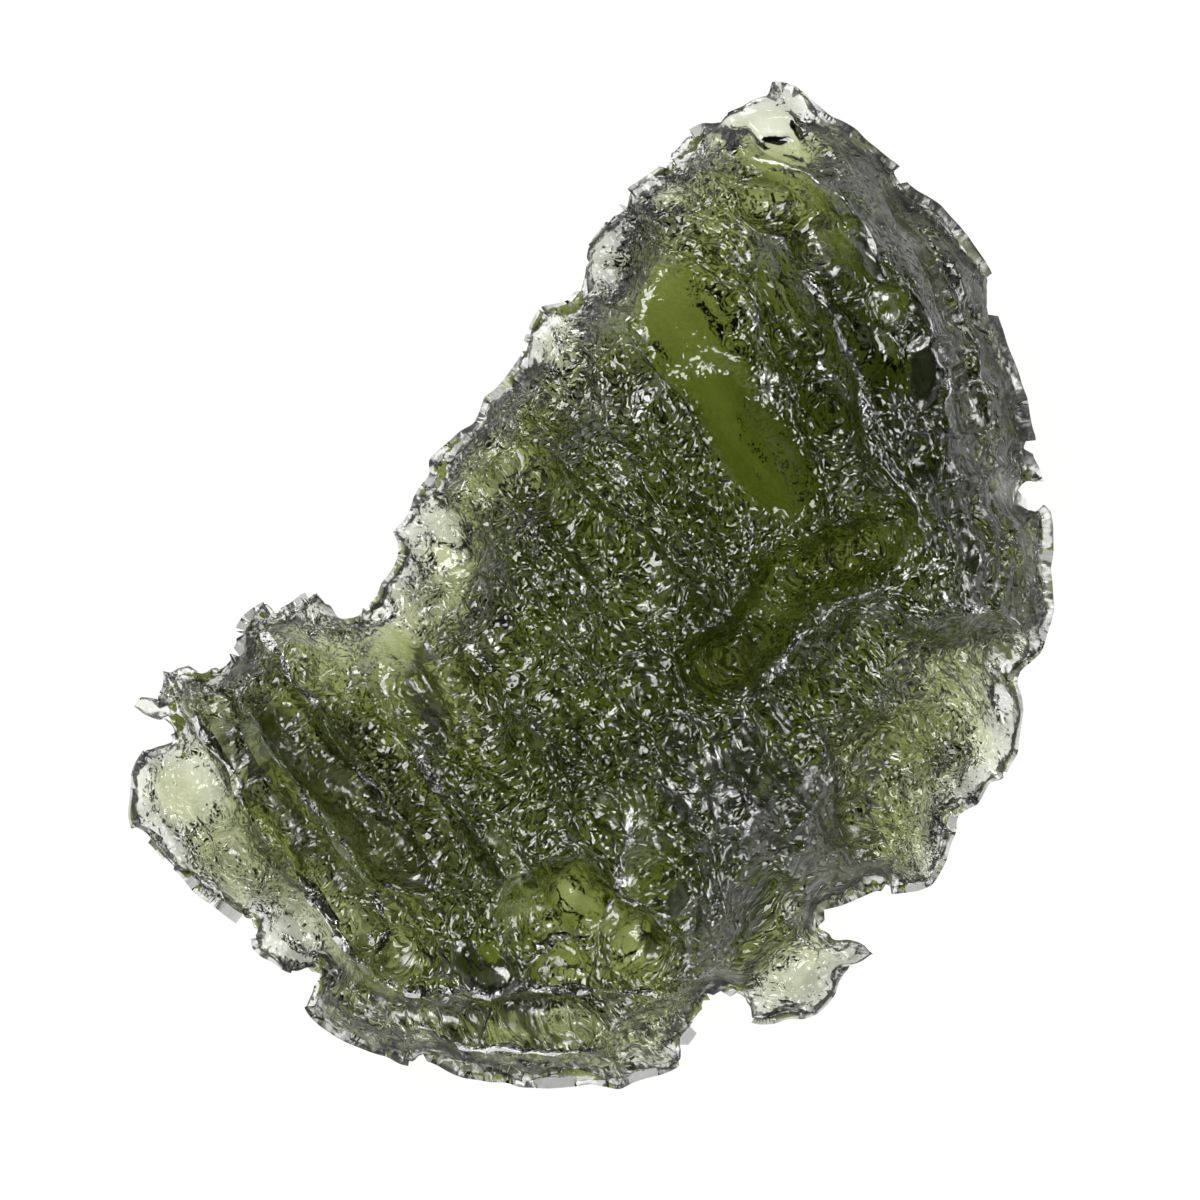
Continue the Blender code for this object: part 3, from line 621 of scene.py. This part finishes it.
def etching_tree(material):
    """Sinks striae and scalloped pits into a mesh, as deep as its points have room for."""
    tree = bpy.data.node_groups.new("Etching", "GeometryNodeTree")
    face = tree.interface
    face.new_socket("Geometry", in_out="INPUT", socket_type="NodeSocketGeometry")
    for name, value in (("Striae depth", 0.0003), ("Pit depth", 0.0002), ("Pit width", 0.0006)):
        socket = face.new_socket(name, in_out="INPUT", socket_type="NodeSocketFloat")
        socket.default_value = value
    face.new_socket("Geometry", in_out="OUTPUT", socket_type="NodeSocketGeometry")
    start = add_node(tree, "NodeGroupInput")
    end = add_node(tree, "NodeGroupOutput")
    link = tree.links.new

    flow = add_node(tree, "GeometryNodeInputNamedAttribute", data_type="FLOAT_VECTOR")
    flow.inputs["Name"].default_value = "flow"
    stretched = add_node(tree, "ShaderNodeVectorMath", operation="MULTIPLY")
    link(flow.outputs["Attribute"], stretched.inputs[0])
    stretched.inputs[1].default_value = (PIT_FORM * MM, MM, MM)

    warp = add_node(tree, "ShaderNodeTexNoise", noise_dimensions="3D")
    warp.inputs["Scale"].default_value = PIT_WANDER_SCALE
    warp.inputs["Detail"].default_value = 1.0
    link(stretched.outputs[0], warp.inputs["Vector"])
    shift = add_node(tree, "ShaderNodeVectorMath", operation="MULTIPLY_ADD")
    link(warp.outputs["Color"], shift.inputs[0])
    shift.inputs[1].default_value = (PIT_WANDER, PIT_WANDER, PIT_WANDER)
    link(stretched.outputs[0], shift.inputs[2])

    per_metre = math_node(tree, "DIVIDE", 1.0, start.outputs["Pit width"])
    hollow = None
    for share, finer in PITS:
        cells = add_node(tree, "ShaderNodeTexVoronoi", voronoi_dimensions="3D", feature="F1")
        link(shift.outputs[0], cells.inputs["Vector"])
        link(math_node(tree, "MULTIPLY", per_metre, finer), cells.inputs["Scale"])
        wall = math_node(tree, "MULTIPLY", cells.outputs["Distance"], 1.25)
        cup = math_node(tree, "SUBTRACT", 1.0, wall)
        cup = math_node(tree, "MULTIPLY", math_node(tree, "MAXIMUM", cup, 0.0), share)
        hollow = cup if hollow is None else math_node(tree, "ADD", hollow, cup)

    striae, room, rough, leaves = (
        stored_value(tree, name) for name in ("striae", "room", "rough", "leaves")
    )
    sunk_pits = math_node(tree, "MULTIPLY", hollow, rough)
    sunk_pits = math_node(tree, "MULTIPLY", sunk_pits, start.outputs["Pit depth"])
    sunk = math_node(tree, "MULTIPLY_ADD", striae, start.outputs["Striae depth"], sunk_pits)
    sunk = math_node(tree, "MULTIPLY_ADD", leaves, MM, sunk)
    sunk = math_node(tree, "MULTIPLY", sunk, room)
    normal = add_node(tree, "GeometryNodeInputNormal")
    inward = add_node(tree, "ShaderNodeVectorMath", operation="SCALE")
    link(normal.outputs[0], inward.inputs[0])
    link(math_node(tree, "MULTIPLY", sunk, -1.0), inward.inputs["Scale"])
    moved = add_node(tree, "GeometryNodeSetPosition")
    link(start.outputs["Geometry"], moved.inputs["Geometry"])
    link(inward.outputs[0], moved.inputs["Offset"])
    real = add_node(tree, "GeometryNodeRealizeInstances")
    link(moved.outputs[0], real.inputs[0])
    coated = add_node(tree, "GeometryNodeSetMaterial")
    coated.inputs["Material"].default_value = material
    link(real.outputs[0], coated.inputs[0])
    link(coated.outputs[0], end.inputs[0])
    return tree


def keep_inside(data, box):
    """Pulls any point that the rounding pushed out back onto the solid's own box."""
    points = np.empty(len(data.vertices) * 3, dtype=np.float32)
    data.vertices.foreach_get("co", points)
    low, high = (np.array(corner, dtype=np.float32) for corner in box)
    data.vertices.foreach_set("co", np.clip(points.reshape(-1, 3), low, high).ravel())
    data.update()


def etch(piece, tree, settings):
    """Runs the tree on the piece and keeps the result as its plain mesh."""
    modifier = piece.modifiers.new("Etching", "NODES")
    modifier.node_group = tree
    for socket in tree.interface.items_tree:
        if socket.in_out == "INPUT" and socket.name in settings:
            modifier[socket.identifier] = settings[socket.name]
    graph = bpy.context.evaluated_depsgraph_get()
    graph.update()
    result = bpy.data.meshes.new_from_object(piece.evaluated_get(graph))
    piece.modifiers.remove(modifier)
    old = piece.data
    piece.data = result
    bpy.data.meshes.remove(old)
    keep_inside(result, CAD_BOX)
    result.shade_smooth()
    result.set_sharp_from_angle(angle=math.radians(SHARP_ANGLE))


# Materials


def shader_material(name):
    material = bpy.data.materials.new(name)
    material.use_nodes = True
    return material, material.node_tree, material.node_tree.nodes["Principled BSDF"]


def vector_math(tree, operation, a, b):
    node = add_node(tree, "ShaderNodeVectorMath", operation=operation)
    for socket, value in zip(node.inputs, (a, b)):
        if isinstance(value, tuple):
            socket.default_value = value
        else:
            tree.links.new(value, socket)
    return node.outputs[0]


def mixed_colour(tree, factor, a, b):
    node = add_node(tree, "ShaderNodeMix", data_type="RGBA")
    colours = [socket for socket in node.inputs if socket.type == "RGBA"]
    for socket, value in zip([node.inputs["Factor"], *colours], (factor, a, b)):
        if isinstance(value, tuple):
            socket.default_value = value
        else:
            tree.links.new(value, socket)
    return next(socket for socket in node.outputs if socket.type == "RGBA")


def etched_skin(tree):
    """The finest etching: small facets drawn out along the flow, each tilted its own way.

    Returns the normal, three chance values for each facet, and how far a point is from the
    middle of its larger facet.
    """
    link = tree.links.new
    flow = add_node(tree, "ShaderNodeAttribute", attribute_name="flow")
    strength = add_node(tree, "ShaderNodeAttribute", attribute_name="facets")
    warp = add_node(tree, "ShaderNodeTexNoise")
    warp.inputs["Scale"].default_value = 1.6
    warp.inputs["Detail"].default_value = 1.0
    link(flow.outputs["Vector"], warp.inputs["Vector"])
    wandering = vector_math(tree, "MULTIPLY", warp.outputs["Color"], (1.2, 0.8, 0.8))
    tilt = None
    for stretch, scale, amount in FACETS:
        drawn = vector_math(tree, "MULTIPLY", flow.outputs["Vector"], (stretch, 1.0, 1.0))
        facets = add_node(tree, "ShaderNodeTexVoronoi", feature="F1")
        facets.inputs["Scale"].default_value = scale
        link(vector_math(tree, "ADD", drawn, wandering), facets.inputs["Vector"])
        centred = vector_math(tree, "SUBTRACT", facets.outputs["Color"], (0.5, 0.5, 0.5))
        own = vector_math(tree, "MULTIPLY", centred, (amount, amount, amount))
        if tilt is None:
            tilt, pits = own, facets.outputs["Distance"]
        else:
            tilt = vector_math(tree, "ADD", tilt, own)
    eased = add_node(tree, "ShaderNodeVectorMath", operation="SCALE")
    link(tilt, eased.inputs[0])
    link(strength.outputs["Fac"], eased.inputs["Scale"])
    face = add_node(tree, "ShaderNodeNewGeometry")
    tilted = vector_math(tree, "ADD", face.outputs["Normal"], eased.outputs[0])
    chance = add_node(tree, "ShaderNodeSeparateXYZ")
    link(facets.outputs["Color"], chance.inputs[0])
    return vector_math(tree, "NORMALIZE", tilted, (0.0, 0.0, 0.0)), chance.outputs, pits


def ramp(tree, value, low, high):
    """0 below low, 1 above high, and even between."""
    node = add_node(tree, "ShaderNodeMapRange")
    tree.links.new(value, node.inputs["Value"])
    node.inputs["From Min"].default_value = low
    node.inputs["From Max"].default_value = high
    return node.outputs["Result"]


def glass_material(colours):
    """See-through green glass with a finely frosted, sparkling skin, and painted shade in its colour."""
    material, tree, shader = shader_material("moldavite_glass")
    shader.inputs["IOR"].default_value = GLASS_IOR
    shader.inputs["Transmission Weight"].default_value = 1.0
    shader.inputs["Coat IOR"].default_value = GLINT_IOR
    shader.inputs["Coat Roughness"].default_value = GLINT_ROUGHNESS
    link = tree.links.new
    normal, chance, pits = etched_skin(tree)
    link(normal, shader.inputs["Normal"])
    rough, matt_shade, shade, gleam, depth, pale, edge = (
        add_node(tree, "ShaderNodeAttribute", attribute_name=name).outputs["Fac"]
        for name in ("rough", "matt_shade", "shade", "gleam", "depth", "pale", "edge")
    )

    # A grey skin on the matt bands, first as a net between the facets and then all over: more frost, a
    # coat sheen and painted shade in its colour
    smooth = math_node(tree, "MULTIPLY_ADD", rough, -0.4, 0.4)
    net = math_node(tree, "MULTIPLY_ADD", matt_shade, 0.43, math_node(tree, "ADD", pits, smooth))
    skin_and_shade = math_node(tree, "MULTIPLY", ramp(tree, net, 0.64, 0.80), ramp(tree, matt_shade, 0.02, 0.20))

    # Roughness: a breath of frost, more of it on the skin and towards the broken edge
    frost = math_node(tree, "MULTIPLY", rough, ETCHED_FROST)
    frost = math_node(tree, "MULTIPLY_ADD", edge, EDGE_FROST, frost)
    frost = math_node(tree, "MULTIPLY_ADD", skin_and_shade, SKIN_FROST, frost)
    link(math_node(tree, "ADD", frost, PLAIN_ROUGHNESS), shader.inputs["Roughness"])

    # Glints: single facets, the skin, and the crests
    glint = math_node(tree, "MULTIPLY", ramp(tree, chance["Y"], 0.62, 0.95), gleam)
    sheen = math_node(tree, "MULTIPLY", skin_and_shade, ramp(tree, chance["X"], -0.2, 2.2))
    crest = math_node(tree, "MULTIPLY", ramp(tree, chance["Y"], -0.2, 0.7), pale)
    coat = math_node(tree, "MAXIMUM", math_node(tree, "MAXIMUM", glint, sheen), crest)
    link(coat, shader.inputs["Coat Weight"])

    # Colour: clear, with painted shade on single facets, on the skin of the matt bands and in the folds
    # Painted shade on single facets, stronger where the glass is thick
    dark = math_node(tree, "MULTIPLY", ramp(tree, chance["Z"], 0.35, 0.75), depth)
    speck_shaded = mixed_colour(tree, dark, CLEAR_COLOUR, SPECK_SHADE_COLOUR)
    skin_shaded = mixed_colour(tree, skin_and_shade, speck_shaded, SKIN_SHADE_COLOUR)
    link(mixed_colour(tree, shade, skin_shaded, FOLD_SHADE_COLOUR), shader.inputs["Base Color"])
    absorb = add_node(tree, "ShaderNodeVolumeAbsorption")
    absorb.inputs["Color"].default_value = (*colours.glass_tint, 1)
    absorb.inputs["Density"].default_value = colours.glass_density
    link(absorb.outputs[0], tree.nodes["Material Output"].inputs["Volume"])
    return material


def table_material(colours):
    """Frosted white panel, lit from below."""
    material, tree, shader = shader_material("light_table")
    shader.inputs["Base Color"].default_value = (0.04, 0.04, 0.04, 1)
    shader.inputs["Roughness"].default_value = 0.6
    shader.inputs["Emission Color"].default_value = (*colours.table_colour, 1)
    shader.inputs["Emission Strength"].default_value = TABLE_GLOW
    shader.inputs["Specular IOR Level"].default_value = 0.0
    material.cycles.emission_sampling = "NONE"
    return material


# Operators


class MOLDAVITE_OT_stone(bpy.types.Operator):
    """Build the stone over its solid"""

    bl_idname = "moldavite.stone"
    bl_label = "Stone"

    def execute(self, context):
        sizes = context.scene.moldavite_sizes
        material = glass_material(context.scene.moldavite_colours)
        piece = refined_copy("moldavite", "moldavite_etched")
        level_calm_places(piece)
        note_relief(piece)
        etch(piece, etching_tree(material), {
            "Striae depth": sizes.striae_depth,
            "Pit depth": sizes.pit_depth,
            "Pit width": sizes.pit_width,
        })
        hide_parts("moldavite")
        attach(piece, "root")
        return {"FINISHED"}


class MOLDAVITE_OT_stage(bpy.types.Operator):
    """Build the light table, the lamps and the camera"""

    bl_idname = "moldavite.stage"
    bl_label = "Stage"

    def execute(self, context):
        scene = context.scene
        reach = scene.moldavite_sizes.table_reach
        shape = bmesh.new()
        bmesh.ops.create_grid(shape, x_segments=1, y_segments=1, size=reach)
        data = bpy.data.meshes.new("light_table")
        shape.to_mesh(data)
        shape.free()
        data.materials.append(table_material(scene.moldavite_colours))
        table = bpy.data.objects.new("light_table", data)
        scene.collection.objects.link(table)
        table.location.z = -TABLE_GAP
        for softbox in SOFTBOXES:
            add_softbox(*softbox)
        add_world()
        add_camera()
        scene.view_settings.view_transform = "Standard"
        scene.cycles.max_bounces = 9
        scene.cycles.diffuse_bounces = 0
        scene.cycles.transmission_bounces = 9
        scene.cycles.glossy_bounces = 5
        return {"FINISHED"}


def add_softbox(name, place, side, power):
    lamp = bpy.data.lights.new(name, "AREA")
    lamp.shape = "SQUARE"
    lamp.size = side
    lamp.energy = power
    lamp.color = LAMP_COLOUR
    box = bpy.data.objects.new(name, lamp)
    box.location = place
    box.rotation_euler = (-Vector(place)).to_track_quat("-Z", "Y").to_euler()
    bpy.context.scene.collection.objects.link(box)


def add_world():
    """A dim room: pale walls round the table, dark above."""
    world = bpy.data.worlds.new("studio")
    world.use_nodes = True
    tree = world.node_tree
    where = add_node(tree, "ShaderNodeTexCoord")
    split = add_node(tree, "ShaderNodeSeparateXYZ")
    tree.links.new(where.outputs["Generated"], split.inputs[0])
    fade = add_node(tree, "ShaderNodeMapRange")
    tree.links.new(split.outputs["Z"], fade.inputs["Value"])
    for name, value in ROOM_FADE:
        fade.inputs[name].default_value = value
    background = tree.nodes["Background"]
    tree.links.new(fade.outputs["Result"], background.inputs["Strength"])
    background.inputs["Color"].default_value = ROOM_COLOUR
    world.cycles.sampling_method = "NONE"
    bpy.context.scene.world = world


def add_camera():
    """Straight above the stone, with a long lens."""
    lens = bpy.data.cameras.new("camera")
    lens.lens = LENS
    lens.sensor_width = SENSOR
    lens.clip_start = 0.01
    lens.clip_end = 10
    camera = bpy.data.objects.new("camera", lens)
    camera.location = (*FRAME_CENTRE, FRAME_HEIGHT + FRAME_WIDTH * LENS / SENSOR)
    bpy.context.scene.collection.objects.link(camera)
    bpy.context.scene.camera = camera


class MOLDAVITE_PT_panel(bpy.types.Panel):
    """Sizes, colours and build steps of the moldavite"""

    bl_idname = "MOLDAVITE_PT_panel"
    bl_label = "Moldavite"
    bl_space_type = "VIEW_3D"
    bl_region_type = "UI"
    bl_category = "Moldavite"

    def draw(self, context):
        layout = self.layout
        for group in (context.scene.moldavite_sizes, context.scene.moldavite_colours):
            for key in group.__annotations__:
                layout.prop(group, key)
        for operator in OPERATORS:
            layout.operator(operator.bl_idname)


OPERATORS = (MOLDAVITE_OT_stone, MOLDAVITE_OT_stage)
CLASSES = (MoldaviteSizes, MoldaviteColours, *OPERATORS, MOLDAVITE_PT_panel)


def register():
    for item in CLASSES:
        bpy.utils.register_class(item)
    bpy.types.Scene.moldavite_sizes = bpy.props.PointerProperty(type=MoldaviteSizes)
    bpy.types.Scene.moldavite_colours = bpy.props.PointerProperty(type=MoldaviteColours)


def unregister():
    del bpy.types.Scene.moldavite_colours
    del bpy.types.Scene.moldavite_sizes
    for item in reversed(CLASSES):
        bpy.utils.unregister_class(item)


def main():
    register()
    bpy.ops.moldavite.stone()
    bpy.ops.moldavite.stage()


if __name__ == "__main__":
    main()
